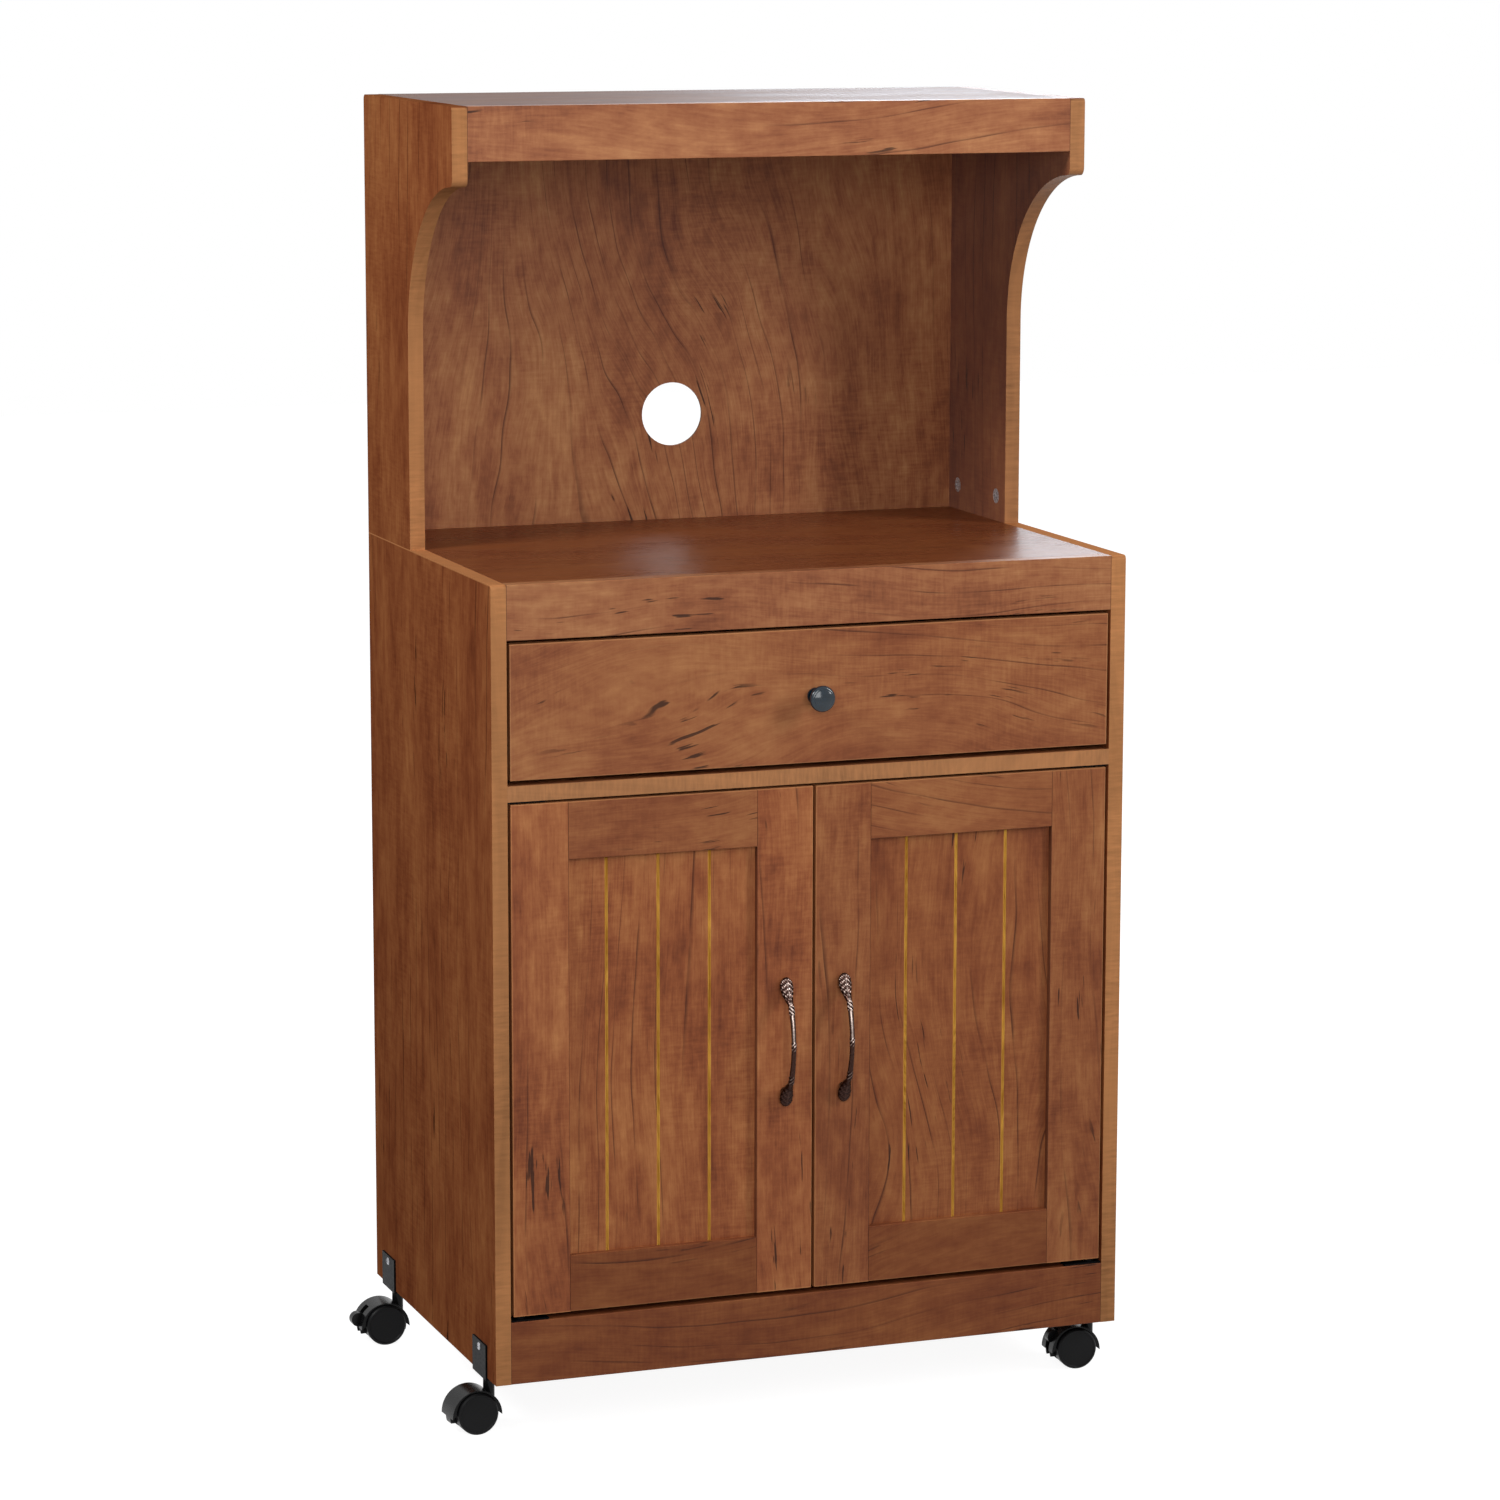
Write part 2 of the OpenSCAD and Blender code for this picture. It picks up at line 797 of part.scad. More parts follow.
module pull_bud() {
    hull() {
        for (spot = BUD_SHAPE)
            for (side = [-1, 1])
                translate([side * (spot[1] * bud_w / 2 - bud_r), -bud_r - 0.8, pull_centres / 2 + spot[0]])
                    sphere(bud_r, $fn = 20);
        translate([0, -bud_r, pull_centres / 2 + bud_tip - bud_r]) sphere(bud_r, $fn = 20);
        translate([0, -neck_y, neck_z]) sphere(d = pull_bar_d, $fn = 20);
    }
}

module pull() {
    band_angle = asin(band_l / bow_r);
    difference() {
        union() {
            bow(pull_bar_d, -bow_angle, bow_angle);
            bow(pull_bar_d + 2 * band_rise, -band_angle / 2, band_angle / 2);
            bow(pull_bar_d + 2 * band_rise, bow_angle - band_angle, bow_angle);
            bow(pull_bar_d + 2 * band_rise, -bow_angle, band_angle - bow_angle);
            for (up = [0, 1])
                mirror([0, 0, up]) {
                    pull_bud();
                    translate([0, -bud_r, pull_centres / 2]) rod_y(2 * bud_r, bud_r);
                }
        }
        for (up = [0, 1])
            mirror([0, 0, up])
                translate([0, -handle_screw_bite, pull_centres / 2])
                    rod_y(handle_screw_d, handle_screw_bite + past);
    }
}

module left_door_stiles() {
    color(wood) stiles();
}

module left_door_rails() {
    color(wood) rails();
}

module left_door_panel() {
    color(wood_light) door_panel(groove_shift);
}

module left_pull() {
    color(bronze) translate([pull_x, 0, pull_z]) pull();
}

module left_pull_screws() {
    color(steel) pull_screws();
}

module right_door_stiles() {
    color(wood) mirrored() stiles();
}

module right_door_rails() {
    color(wood) mirrored() rails();
}

module right_door_panel() {
    color(wood_light) mirrored() door_panel(-groove_shift);
}

module right_pull() {
    color(bronze) mirrored() translate([pull_x, 0, pull_z]) pull();
}

module right_pull_screws() {
    color(steel) mirrored() pull_screws();
}

// ---- drawer ----

module bottom_groove() {
    translate([box_x + box_t - box_groove, drawer_front_t - box_groove, bottom_z])
        cube([box_w - 2 * box_t + 2 * box_groove, box_l + box_groove, box_bottom_t]);
}

module at_knob() {
    translate([mid_x, 0, knob_z]) children();
}

module drawer_front() {
    color(wood) difference() {
        translate([mid_x - front_w / 2, 0, front_z])
            along_x(front_w) soft_square([drawer_front_t, front_h], edge_r);
        bottom_groove();
        at_knob() translate([0, -past, 0]) rod_y(handle_screw_d, drawer_front_t + 2 * past);
    }
}

module drawer_sides() {
    color(wood_dark) difference() {
        both_sides() translate([box_x, drawer_front_t, box_z]) cube([box_t, box_l, box_h]);
        bottom_groove();
    }
}

module drawer_back() {
    back_z = bottom_z + box_bottom_t;
    color(wood_dark)
        translate([box_x + box_t, box_rear - box_t, back_z])
            cube([box_w - 2 * box_t, box_t, box_z + box_h - back_z]);
}

module drawer_bottom() {
    color(wood_light) bottom_groove();
}

module knob_outline() {
    rim_z = knob_l - 5.5;
    rim_x = knob_d / 2 - knob_rim_r;
    square([knob_foot_d / 2, knob_foot_t]);
    square([knob_neck_d / 2, rim_z]);
    translate([0, rim_z - knob_rim_r]) square([rim_x, knob_rim_r]);
    translate([rim_x, rim_z]) circle(knob_rim_r);
    intersection() {
        translate([0, knob_l - knob_dome_r]) circle(knob_dome_r, $fn = 96);
        translate([0, rim_z - knob_rim_r]) square([rim_x, knob_l]);
    }
}

module drawer_knob() {
    color([0.11, 0.13, 0.17]) at_knob() rotate([90, 0, 0]) difference() {
        rotate_extrude() intersection() {
            knob_outline();
            square([knob_d, knob_l]);
        }
        translate([0, 0, -past]) cylinder(d = handle_screw_d, h = handle_screw_bite + past);
    }
}

module knob_screw() {
    color(steel) at_knob() handle_screw(drawer_front_t);
}

// ---- drawer slides, drawn for the left side ----

module channel() {
    translate([board_t, slide_y, box_z]) cube([slide_t, slide_l, channel_h]);
    for (z = [box_z, box_z + channel_h - slide_t])
        translate([board_t, flange_y, z])
            cube([roller_w + 3 * slide_t, slide_y + slide_l - flange_y, slide_t]);
    translate([board_t, front_roller_y, front_roller_z]) rod_x(stub_d, roller_x - board_t + roller_w);
}

module runner() {
    web_h = ride_z - box_z + 3 * slide_t;
    translate([box_x - slide_t, drawer_front_t, box_z - slide_t]) {
        cube([slide_t, slide_l, web_h]);
        cube([box_t, slide_l, slide_t]);
    }
    translate([box_x - slide_t - ride_w, drawer_front_t, ride_z]) cube([ride_w, slide_l, slide_t]);
    translate([roller_x, rear_roller_y, rear_roller_z]) rod_x(stub_d, box_x - roller_x);
}

module roller() {
    difference() {
        rod_x(roller_d, roller_w);
        translate([-past, 0, 0]) rod_x(stub_d + 2 * pin_clear, roller_w + 2 * past);
    }
}

module slide_channels() {
    color(white_plastic) both_sides() channel();
}

module slide_front_rollers() {
    color(white_plastic) both_sides() translate([roller_x, front_roller_y, front_roller_z]) roller();
}

module drawer_runners() {
    color(white_plastic) both_sides() runner();
}

module slide_rear_rollers() {
    color(white_plastic) both_sides() translate([roller_x, rear_roller_y, rear_roller_z]) roller();
}

// ---- casters: x forwards of the stem, y along the axle ----

module bracket() {
    difference() {
        translate([-bracket_t, -bracket_w / 2, caster_h - bracket_t]) {
            cube([bracket_t, bracket_w, bracket_h + bracket_t]);
            cube([bracket_t + board_t, bracket_w, bracket_t]);
        }
        stem(caster_h - bracket_t - past, caster_h + past);
        translate([-past, 0, 0]) bracket_screw_shank();
        bracket_screw_shank();
    }
}

module at_stems() {
    both_sides()
        for (y = STEM_Y)
            translate([0, y, 0]) children();
}

module caster_brackets() {
    color(black_steel) at_stems() bracket();
}

// a cross recess in a face that looks along x, about the current origin
module cross_recess(width, slot) {
    for (size = [[width, slot], [slot, width]])
        translate([-recess_depth, -size[0] / 2, -size[1] / 2])
            cube([2 * recess_depth, size[0], size[1]]);
}

// a low domed screw head that stands out along -x
module dome_head() {
    dome_r = (pow(screw_head_d / 2, 2) + pow(screw_head_h, 2)) / (2 * screw_head_h);
    difference() {
        intersection() {
            translate([dome_r - screw_head_h, 0, 0]) sphere(dome_r);
            translate([-screw_head_h, 0, 0]) rod_x(screw_head_d, screw_head_h);
        }
        translate([-screw_head_h, 0, 0]) cross_recess(screw_head_d * 0.6, recess_slot);
    }
}

module bracket_screws() {
    color(steel) at_stems() {
        bracket_screw_shank();
        translate([-bracket_t, 0, caster_h + bracket_screw_rise]) dome_head();
    }
}

module caster_stems() {
    color(steel) at_stems() stem(stem_foot_z, caster_h + stem_bite);
}

// extrudes an outline drawn in x and z along y, about the wheels' middle plane
module across(width) {
    rotate([90, 0, 0]) translate([0, 0, -width / 2]) linear_extrude(width) children();
}

module above(z) {
    translate([-wheel_d * 2, z]) square(wheel_d * 3);
}

// a crescent over the wheels, with pointed tips
module fender_outline() {
    tip_z = fender_end_z + tip_slant;
    intersection() {
        difference() {
            translate(fender_mid) circle(fender_r, $fn = 96);
            translate([-caster_offset, wheel_r]) circle(wheel_r + fender_gap, $fn = 96);
        }
        translate([-caster_offset, 0]) polygon([
            [-fender_r, fender_end_z], [-wheel_r + past, tip_z],
            [wheel_r - past, tip_z], [fender_r, fender_end_z],
            [fender_r, caster_h], [-fender_r, caster_h],
        ]);
    }
}

module hood(has_lever) {
    color(black_plastic) difference() {
        union() {
            across(fender_w) fender_outline();
            across(hood_core_w) intersection() {
                translate(fender_mid) circle(fender_r - core_inset, $fn = 96);
                above(core_end_z);
            }
            translate([0, 0, neck_foot_z]) cylinder(d = neck_d, h = hood_top_z - neck_foot_z);
        }
        translate([0, 0, stem_foot_z - seat_gap])
            cylinder(d = stem_d + 2 * pin_clear, h = hood_top_z);
        translate([-caster_offset, -hood_core_w, wheel_r]) rod_y(axle_d, 2 * hood_core_w);
        if (has_lever) {
            across(lever_w + 2 * lever_side_gap)
                polygon([for (corner = LEVER_SLOT) [-corner[0], corner[1]]]);
            translate([-lever_pivot_x, -hood_core_w, lever_pivot_z])
                rod_y(lever_pin_d + 2 * pin_clear, 2 * hood_core_w);
        }
    }
}

module axle() {
    color(steel) translate([-caster_offset, -axle_l / 2, wheel_r]) rod_y(axle_d, axle_l);
}

// half of a wheel's section: x is the radius, y runs in from the outer face
module wheel_section() {
    face_r = wheel_r - 3;
    bore_r = axle_d / 2 + pin_clear;
    polygon([
        [0, 0.6],
        [face_r, 0.6],
        [face_r + 0.6, 0],
        [wheel_r - 1.2, 0],
        [wheel_r, 1.2],
        [wheel_r, wheel_w - 0.8],
        [wheel_r - 0.8, wheel_w],
        [bore_r, wheel_w],
        [bore_r, wheel_skin],
        [0, wheel_skin],
    ]);
}

module wheel(side) {
    color(black_plastic)
        translate([-caster_offset, side * wheels_w / 2, wheel_r])
            rotate([side * 90, 0, 0]) rotate_extrude($fn = 96) wheel_section();
}

// a bar from the current origin to a point, with a rounded far end
module lever_bar(end) {
    rotate(atan2(end[1], end[0])) translate([0, -lever_arm_t / 2]) square([norm(end), lever_arm_t]);
    translate(end) circle(lever_arm_t / 2);
}

module lever_outline() {
    pivot = [-lever_pivot_x, lever_pivot_z];
    knee = pivot + [-lever_knee[0], lever_knee[1]];
    hook = [-hook_x, hook_z];
    difference() {
        union() {
            translate(pivot) {
                circle(lever_hub_r);
                lever_bar(knee - pivot);
            }
            translate(knee) lever_bar(hook - knee);
            translate(hook) circle(hook_r);
        }
        translate(hook + hook_cut) {
            circle(hook_cut_r);
            translate([0, -hook_r]) square([hook_r - hook_cut[0], hook_r]);
        }
    }
}

module lock_lever(raised) {
    color(black_plastic)
        translate([-lever_pivot_x, 0, lever_pivot_z])
            rotate([0, raised, 0])
                translate([lever_pivot_x, 0, -lever_pivot_z]) {
                    across(lever_w) lever_outline();
                    translate([-lever_pivot_x, -hood_core_w / 2, lever_pivot_z])
                        rod_y(lever_pin_d, hood_core_w);
                }
}

module at_front_left() {
    translate([stem_x, STEM_Y[0], 0]) rotate(front_left_turn) children();
}

module at_front_right() {
    translate([cart_w - stem_x, STEM_Y[0], 0]) rotate(front_right_turn) children();
}

module at_rear_left() {
    translate([stem_x, STEM_Y[1], 0]) rotate(rear_left_turn) children();
}

module at_rear_right() {
    translate([cart_w - stem_x, STEM_Y[1], 0]) rotate(rear_right_turn) children();
}

// ---- the cart ----

place() base_left_side();
place() base_right_side();
place() worktop();
place() front_rail();
place() divider_shelf();
place() cabinet_floor();
place() toe_rail();
place() base_back();
place() adjustable_shelf();
place() shelf_pins();
place() hutch_left_side();
place() hutch_right_side();
place() hutch_top();
place() hutch_rail();
place() hutch_back();
place() cam_locks();
place() cam_bolts();
place() dowels();
place() door_pivot_plates();
place() slide_channels();
place() slide_front_rollers();
place() drawer_front();
place() drawer_sides();
place() drawer_back();
place() drawer_bottom();
place() drawer_runners();
place() slide_rear_rollers();
place() drawer_knob();
place() knob_screw();
place() left_door_stiles();
place() left_door_rails();
place() left_door_panel();
place() left_pull();
place() left_pull_screws();
place() right_door_stiles();
place() right_door_rails();
place() right_door_panel();
place() right_pull();
place() right_pull_screws();
place() caster_brackets();
place() bracket_screws();
place() caster_stems();
place() at_front_left() hood(false);  // front_left_hood
place() at_front_left() axle();  // front_left_axle
place() at_front_left() wheel(-1);  // front_left_wheel_a
place() at_front_left() wheel(1);  // front_left_wheel_b
place() at_front_right() hood(true);  // front_right_hood
place() at_front_right() axle();  // front_right_axle
place() at_front_right() wheel(-1);  // front_right_wheel_a
place() at_front_right() wheel(1);  // front_right_wheel_b
place() at_front_right() lock_lever(lever_swing);  // front_right_lock_lever
place() at_rear_left() hood(true);  // rear_left_hood
place() at_rear_left() axle();  // rear_left_axle
place() at_rear_left() wheel(-1);  // rear_left_wheel_a
place() at_rear_left() wheel(1);  // rear_left_wheel_b
place() at_rear_left() lock_lever(0);  // rear_left_lock_lever
place() at_rear_right() hood(false);  // rear_right_hood
place() at_rear_right() axle();  // rear_right_axle
place() at_rear_right() wheel(-1);  // rear_right_wheel_a
place() at_rear_right() wheel(1);  // rear_right_wheel_b
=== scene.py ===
import bpy
import math
import random
from mathutils import Matrix, Vector


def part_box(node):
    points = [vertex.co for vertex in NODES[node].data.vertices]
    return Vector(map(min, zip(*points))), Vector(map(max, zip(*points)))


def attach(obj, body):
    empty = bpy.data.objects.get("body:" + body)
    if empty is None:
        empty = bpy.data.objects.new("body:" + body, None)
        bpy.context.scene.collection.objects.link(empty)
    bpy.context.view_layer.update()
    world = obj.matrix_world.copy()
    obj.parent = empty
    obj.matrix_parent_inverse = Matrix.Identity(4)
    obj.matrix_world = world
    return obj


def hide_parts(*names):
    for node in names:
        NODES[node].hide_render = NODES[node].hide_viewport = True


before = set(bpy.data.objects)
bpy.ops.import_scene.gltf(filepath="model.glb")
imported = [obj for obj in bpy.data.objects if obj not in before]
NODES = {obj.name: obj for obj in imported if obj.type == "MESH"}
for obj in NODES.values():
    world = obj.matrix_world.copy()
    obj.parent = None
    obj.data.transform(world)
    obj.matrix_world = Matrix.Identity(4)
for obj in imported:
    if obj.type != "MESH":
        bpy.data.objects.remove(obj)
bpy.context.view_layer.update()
scene = bpy.context.scene

# the row frame's origin in the cabinet's own millimetres: x from the left side panel's outer face,
# y from the front edges, z from the floor
ORIGIN = Vector((298.4, 190.3, 0.0))


def at(x, y, z):
    """a point in the cabinet's own millimetres, in metres in the row frame"""
    return (Vector((x, y, z)) - ORIGIN) / 1000


def lin(r, g, b):
    """0-255 display colour as a linear colour"""
    def one(c):
        c /= 255
        return c / 12.92 if c <= 0.04045 else ((c + 0.055) / 1.055) ** 2.4
    return (one(r), one(g), one(b), 1.0)


# ---------------------------------------------------------------- materials

class Tree:
    """a small helper to write the node tree of a material or of the world"""

    def __init__(self, owner):
        owner.use_nodes = True
        self.nt = owner.node_tree
        self.nt.nodes.clear()

    def link(self, a, b):
        self.nt.links.new(a, b)

    def put(self, node, key, value):
        if isinstance(value, bpy.types.NodeSocket):
            self.link(value, node.inputs[key])
        else:
            node.inputs[key].default_value = value

    def math(self, op, a, b=0.0, c=0.0):
        n = self.nt.nodes.new("ShaderNodeMath")
        n.operation = op
        for i, v in enumerate((a, b, c)):
            self.put(n, i, v)
        return n.outputs[0]

    def noise(self, vector, detail=2.0, rough=0.5):
        """noise of one wave per unit of the vector, so that the vector's mapping sets its size"""
        n = self.nt.nodes.new("ShaderNodeTexNoise")
        self.link(vector, n.inputs["Vector"])
        n.inputs["Scale"].default_value = 1.0
        n.inputs["Detail"].default_value = detail
        n.inputs["Roughness"].default_value = rough
        return n.outputs[0]

    def ramp(self, fac, stops):
        n = self.nt.nodes.new("ShaderNodeValToRGB")
        el = n.color_ramp.elements
        while len(el) < len(stops):
            el.new(0.5)
        for e, (p, c) in zip(el, stops):
            e.position = p
            e.color = c if len(c) == 4 else (*c, 1)
        self.link(fac, n.inputs[0])
        return n.outputs[0]

    def span(self, value, lo, hi, to_lo=0.0, to_hi=1.0, smooth=False):
        n = self.nt.nodes.new("ShaderNodeMapRange")
        n.interpolation_type = "SMOOTHSTEP" if smooth else "LINEAR"
        n.clamp = True
        for i, v in enumerate((value, lo, hi, to_lo, to_hi)):
            self.put(n, i, v)
        return n.outputs[0]

    def mix(self, fac, a, b, mode="MIX"):
        n = self.nt.nodes.new("ShaderNodeMix")
        n.data_type = "RGBA"
        n.blend_type = mode
        n.clamp_factor = True
        self.put(n, 0, fac)
        self.put(n, 6, a)
        self.put(n, 7, b)
        return n.outputs[2]

    def bump(self, height, strength, distance):
        n = self.nt.nodes.new("ShaderNodeBump")
        n.inputs["Strength"].default_value = strength
        n.inputs["Distance"].default_value = distance
        self.link(height, n.inputs["Height"])
        return n.outputs[0]

    def xyz(self, vector):
        n = self.nt.nodes.new("ShaderNodeSeparateXYZ")
        self.link(vector, n.inputs[0])
        return n.outputs[0], n.outputs[1], n.outputs[2]

    def summed(self, start, *layers):
        """start plus each layer's value times its weight"""
        for value, weight in layers:
            start = self.math("MULTIPLY_ADD", value, weight, start)
        return start

    def seen_rays(self):
        """1 on rays that show a surface directly, by reflection or through glass, else 0"""
        path = self.nt.nodes.new("ShaderNodeLightPath")
        seen = self.math("MAXIMUM", path.outputs["Is Camera Ray"], path.outputs["Is Glossy Ray"])
        return self.math("MAXIMUM", seen, path.outputs["Is Transmission Ray"])


class Material(Tree):
    """the node tree of a new material, with its principled shader"""

    def __init__(self, name):
        self.mat = bpy.data.materials.new(name)
        super().__init__(self.mat)
        out = self.nt.nodes.new("ShaderNodeOutputMaterial")
        self.bsdf = self.nt.nodes.new("ShaderNodeBsdfPrincipled")
        self.link(self.bsdf.outputs[0], out.inputs[0])
        self.tc = self.nt.nodes.new("ShaderNodeTexCoord")

    def mapped(self, scale, loc=(0, 0, 0), source=None):
        n = self.nt.nodes.new("ShaderNodeMapping")
        n.inputs["Location"].default_value = loc
        n.inputs["Scale"].default_value = scale
        self.link(source or self.tc.outputs["Object"], n.inputs["Vector"])
        return n.outputs[0]


def stretch(along, across, lengthways):
    """scale vector for a pattern that is long in the grain's direction"""
    s = [across, across, across]
    s["xyz".index(along)] = lengthways
    return tuple(s)


# the laminate's four tones, as 0-255 display colours
DARK = (92, 46, 29)
RED = (128, 72, 44)
MID = (145, 88, 54)
LIGHT = (172, 116, 72)
# its thin lines and joint lines, which on the door stiles also paint the recess's shade, its
# banding and pale edges, the pale edges partly a painted highlight, and its mineral dashes
LINE = (62, 30, 20)
TAN = (172, 118, 76)
BLACK = (34, 18, 13)
# bare board at the bottom of the grooves, its colour brightened as painted light against the shade
# in the narrow grooves
RAW_LIT_DARK = (170, 118, 40)
RAW_LIT_LIGHT = (226, 176, 80)
# how much each layer of the print moves its tone
PATCH_W, BLOTCH_W, BROAD_W, STREAK_W, FIBRE_W, RIPPLE_W = 0.74, 0.58, 0.26, 0.27, 0.33, 0.30
# how far the broad and the small waves bend the grain, in metres per unit of noise
BROAD_BEND, SMALL_BEND = 0.42, 0.035
# nested arches: rings per metre across the grain, their swing, a line's share of a ring
RINGS, RING_SWING, RING_LINE, RING_EDGE = 40.0, 3.0, 0.10, 0.016
ARCH_STRENGTH, DASH_STRENGTH = 0.92, 0.85
# in metres: the paler top edge, a seam, which on the door stiles also paints the recess's shade,
# the pale edge line, which is partly a painted highlight, and the bare board in a groove
CREST = (0.0014, 0.0007)
SEAM_AND_SHADE = (0.0003, 0.0008)
RIM = (0.0004, 0.0013)
RAW_FROM = (0.00015, 0.0004)
RAW_TO = (0.0026, 0.0028)


def shade(colour, k, warm=0.0):
    r, g, b = colour
    return lin(min(255, r * k * (1 + warm)), min(255, g * k), min(255, b * k * (1 - warm)))


def wood(name, along, seed, k=1.0, warm=0.0, contrast=1.0, lines=1.0, swirl=1.0, edge=None,
         edge_axis=None, rough=0.46, gloss=0.16, haze=0.0, groove=None, seams_and_shade=(), rim=None,
         lower=None, crest=None):
    """printed cherry laminate. Streaks, fibres and dark lines follow a flow field, so that they
    bend into arches, over soft patches, cross ripple and sparse mineral dashes. edge is the
    banding's colour on all faces but those across edge_axis and the upward ones, groove the place
    along y of a face in whose grooves bare board shows, brightened as painted light, seams the
    dark lines as (axis, place), which are joint lines and on the door stiles also painted shade on
    the recess walls, rim the node round whose outline a pale edge line runs, partly banding and
    partly a painted highlight, lower the (height, factor) below which the board is painted darker
    as shade, crest the height of a paler top edge, and haze a pale sheen."""
    t = Material(name)
    rnd = random.Random(seed)
    off = [tuple(rnd.uniform(-20, 20) for _ in range(3)) for _ in range(12)]
    place = dict(zip("xyz", t.xyz(t.tc.outputs["Object"])))
    lengthways = place[along]
    sideways = t.math("ADD", *(value for axis, value in place.items() if axis != along))

    def layer(across, along_scale, i, **kw):
        return t.noise(t.mapped(stretch(along, across, along_scale), off[i]), **kw)

    def centred(value):
        return t.math("SUBTRACT", value, 0.5)

    # the flow field: distance across the grain, bent by broad and by small waves
    flow = t.summed(sideways,
                    (layer(3.6, 1.5, 0, detail=1.5, rough=0.4), BROAD_BEND * swirl),
                    (layer(13, 4.5, 1, detail=2.0), SMALL_BEND * swirl))
    joined = t.nt.nodes.new("ShaderNodeCombineXYZ")
    t.put(joined, 0, flow)
    t.put(joined, 1, lengthways)
    t.put(joined, 2, sideways)

    def strand(across, along_scale, i, **kw):
        return t.noise(t.mapped((across, along_scale, 2.0), off[i], source=joined.outputs[0]), **kw)

    patches = layer(15, 7, 2, detail=3.0, rough=0.55)
    blotch = layer(70, 34, 3, detail=4.0, rough=0.65)
    broad = strand(16, 1.2, 4, detail=2.0)
    streaks = strand(70, 3.2, 5, detail=4.0, rough=0.62)
    fibres = strand(520, 26, 6, detail=2.0, rough=0.65)
    ripple = layer(44, 330, 7, detail=2.0, rough=0.6)
    rippled = t.math("MULTIPLY", centred(ripple), t.span(layer(9, 6, 8), 0.4, 0.62, 0.25, 1.0))

    tone = t.summed(0.5,
                    (centred(patches), PATCH_W * contrast), (centred(blotch), BLOTCH_W * contrast),
                    (centred(broad), BROAD_W * contrast), (centred(streaks), STREAK_W * contrast),
                    (centred(fibres), FIBRE_W * contrast), (rippled, RIPPLE_W * contrast))
    colour = t.ramp(tone, [
        (0.10, shade(DARK, k, warm)),
        (0.38, shade(RED, k, warm)),
        (0.56, shade(MID, k, warm)),
        (0.90, shade(LIGHT, k, warm)),
    ])

    # nested arches: thin dark lines along the flow, shown only in places
    rings = t.summed(t.math("MULTIPLY", flow, RINGS), (strand(9, 1.0, 9), RING_SWING))
    rings = t.math("FRACT", rings)
    arch = t.span(rings, 0.0, RING_LINE, 1.0, 0.0, smooth=True)
    arch = t.math("MULTIPLY", arch, t.span(rings, 0.0, RING_EDGE, 0.0, 1.0))
    shown = t.span(layer(8, 3.2, 10, detail=2.0), 0.46, 0.58, 0.0, 1.0, smooth=True)
    thin = t.span(strand(60, 14, 11, detail=2.0), 0.34, 0.56, 0.0, 1.0)
    arches = t.math("MULTIPLY", t.math("MULTIPLY", arch, shown), thin)
    colour = t.mix(t.math("MULTIPLY", arches, ARCH_STRENGTH * lines), colour, shade(LINE, k, warm))
    # mineral dashes, in few places
    spots = strand(210, 15, 2, detail=2.5, rough=0.6)
    few = t.span(layer(11, 4.5, 9, detail=1.0), 0.56, 0.66, 0.0, 1.0, smooth=True)
    dash = t.math("MULTIPLY", t.span(spots, 0.635, 0.68, 0.0, 1.0, smooth=True), few)
    colour = t.mix(t.math("MULTIPLY", dash, DASH_STRENGTH * lines), colour, shade(BLACK, k, warm))
    # painted shade: below the given height the board's colour is darkened, standing in for less
    # light low down
    if lower:
        level, shade_factor = lower
        shaded_colour = t.mix(1.0, colour, (shade_factor, shade_factor * 0.88, shade_factor * 0.8, 1), mode="MULTIPLY")
        colour = t.mix(t.span(place["z"], level, level + 0.001), shaded_colour, colour)
    # a paler band along the top edge
    if crest:
        pale_top = t.span(place["z"], crest - CREST[0], crest - CREST[1], 0.0, 0.7)
        colour = t.mix(pale_top, colour, shade(TAN, k * 1.2))
    # dark lines at the given places: joint lines, and on the door stiles also painted shade on the
    # recess walls
    for axis, value in seams_and_shade:
        away = t.math("ABSOLUTE", t.math("SUBTRACT", place[axis], value))
        colour = t.mix(t.span(away, *SEAM_AND_SHADE, 0.75, 0.0), colour, shade(LINE, k, warm))
    # a pale line round the node's outline: partly the banding's edge seen from the front, partly a
    # painted highlight
    if rim:
        lo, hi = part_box(rim)
        gaps = [t.math("SUBTRACT", place["x"], lo[0]), t.math("SUBTRACT", hi[0], place["x"]),
                t.math("SUBTRACT", place["z"], lo[2]), t.math("SUBTRACT", hi[2], place["z"])]
        nearest = t.math("MINIMUM", t.math("MINIMUM", *gaps[:2]), t.math("MINIMUM", *gaps[2:]))
        colour = t.mix(t.span(nearest, *RIM, 0.5, 0.0), colour, shade(TAN, k * 1.08, warm))
    if edge:
        normal = dict(zip("xyz", t.xyz(t.tc.outputs["Normal"])))
        on_edge = t.span(t.math("ABSOLUTE", normal[edge_axis]), 0.55, 0.8, 1.0, 0.0)
        on_edge = t.math("MULTIPLY", on_edge, t.span(normal["z"], 0.6, 0.8, 1.0, 0.0))
        band_tone = t.summed(0.5, (rippled, 0.7), (centred(streaks), 0.5), (centred(patches), 0.5))
        band = t.ramp(band_tone, [
            (0.2, shade(edge, k * 0.80, 0.0)), (0.8, shade(edge, k * 1.14, 0.0))])
        colour = t.mix(on_edge, colour, band)
    if groove:
        past_face = t.span(place["y"], groove + RAW_FROM[0], groove + RAW_FROM[1])
        to_bottom = t.span(place["y"], groove + RAW_TO[0], groove + RAW_TO[1], 1.0, 0.0)
        inside = t.math("MULTIPLY", past_face, to_bottom)
